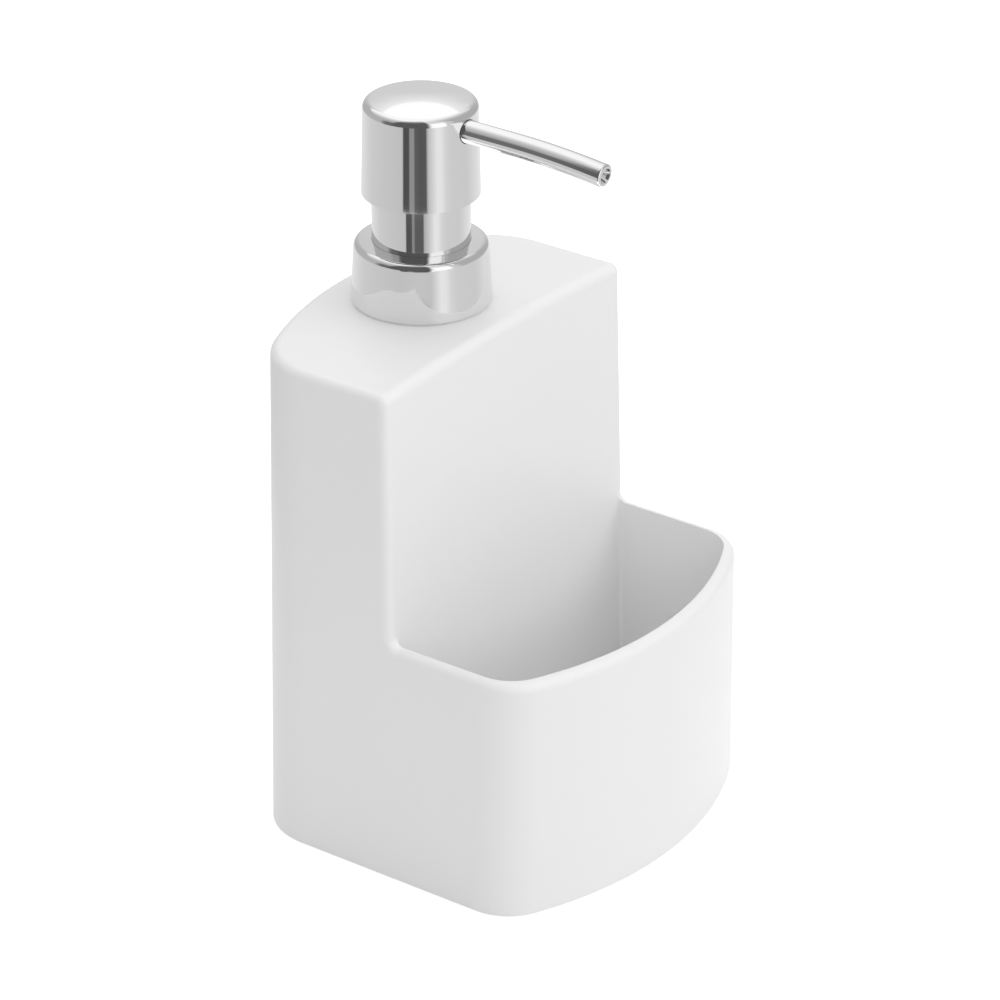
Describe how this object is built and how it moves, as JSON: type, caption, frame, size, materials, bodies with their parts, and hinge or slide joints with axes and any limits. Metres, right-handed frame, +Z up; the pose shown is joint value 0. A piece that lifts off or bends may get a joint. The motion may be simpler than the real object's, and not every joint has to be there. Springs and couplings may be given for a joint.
{
  "type": "soap pump caddy",
  "caption": "Countertop soap tank with a screwed-on lotion pump and, moulded in front of it, an open pocket for a sponge.",
  "frame": {"origin": "centre of the footprint, on the surface the feet stand on", "axes": "+Z up; -Y towards the front, where the sponge pocket and the spout are; +X to the right-hand side"},
  "size_m": [0.1, 0.0986, 0.1803],
  "materials": {
    "white_moulding": "smooth moulded satin",
    "foot_rubber": "matte",
    "gasket_foam": "matte",
    "natural_plastic": "milky natural",
    "clear_tube": "milky translucent",
    "cap_plastic": "moulded",
    "seal_plastic": "soft natural",
    "spring_steel": "drawn wire",
    "ball_steel": "polished",
    "chrome_plate": "mirror polished"
  },
  "bodies": {
    "container": {"body_shell": "white_moulding", "base_plate": "white_moulding", "foot_front_left": "foot_rubber", "foot_front_right": "foot_rubber", "foot_back_left": "foot_rubber", "foot_back_right": "foot_rubber"},
    "pump_unit": {"neck_gasket": "gasket_foam", "pump_housing": "natural_plastic", "stem_guide": "natural_plastic", "ball_cage": "natural_plastic", "dip_tube": "clear_tube", "return_spring": "spring_steel"},
    "inlet_valve": {"inlet_ball": "ball_steel"},
    "closure": {"closure_cap": "cap_plastic", "guide_sleeve": "chrome_plate", "collar_cover": "chrome_plate"},
    "plunger": {"piston_seal": "seal_plastic"},
    "actuator": {"pump_stem": "cap_plastic", "head_core": "cap_plastic", "head_shell": "chrome_plate", "spout_tube": "chrome_plate"},
    "outlet_valve": {"outlet_ball": "ball_steel"}
  },
  "joints": [
    {"name": "pump_lift", "type": "slide", "parent": "container", "child": "pump_unit", "axis": [0, 0, 1], "range_m": [0, 0.14]},
    {"name": "closure_turn", "type": "hinge", "parent": "pump_unit", "child": "closure", "pos_m": [0, 0.02515, 0.1431], "axis": [0, 0, 1], "range_deg": [0, 450]},
    {"name": "pump_stroke", "type": "slide", "parent": "pump_unit", "child": "plunger", "axis": [0, 0, -1], "range_m": [0, 0.011], "stiffness_N_per_m": 900, "springref_m": -0.006, "deforming": ["return_spring"]},
    {"name": "head_swivel", "type": "hinge", "parent": "plunger", "child": "actuator", "pos_m": [0, 0.02515, 0.1803], "axis": [0, 0, 1], "continuous": true},
    {"name": "inlet_ball_lift", "type": "slide", "parent": "pump_unit", "child": "inlet_valve", "axis": [0, 0, 1], "range_m": [0, 0.001]},
    {"name": "outlet_ball_lift", "type": "slide", "parent": "actuator", "child": "outlet_valve", "axis": [0, 0, 1], "range_m": [0, 0.001]}
  ]
}
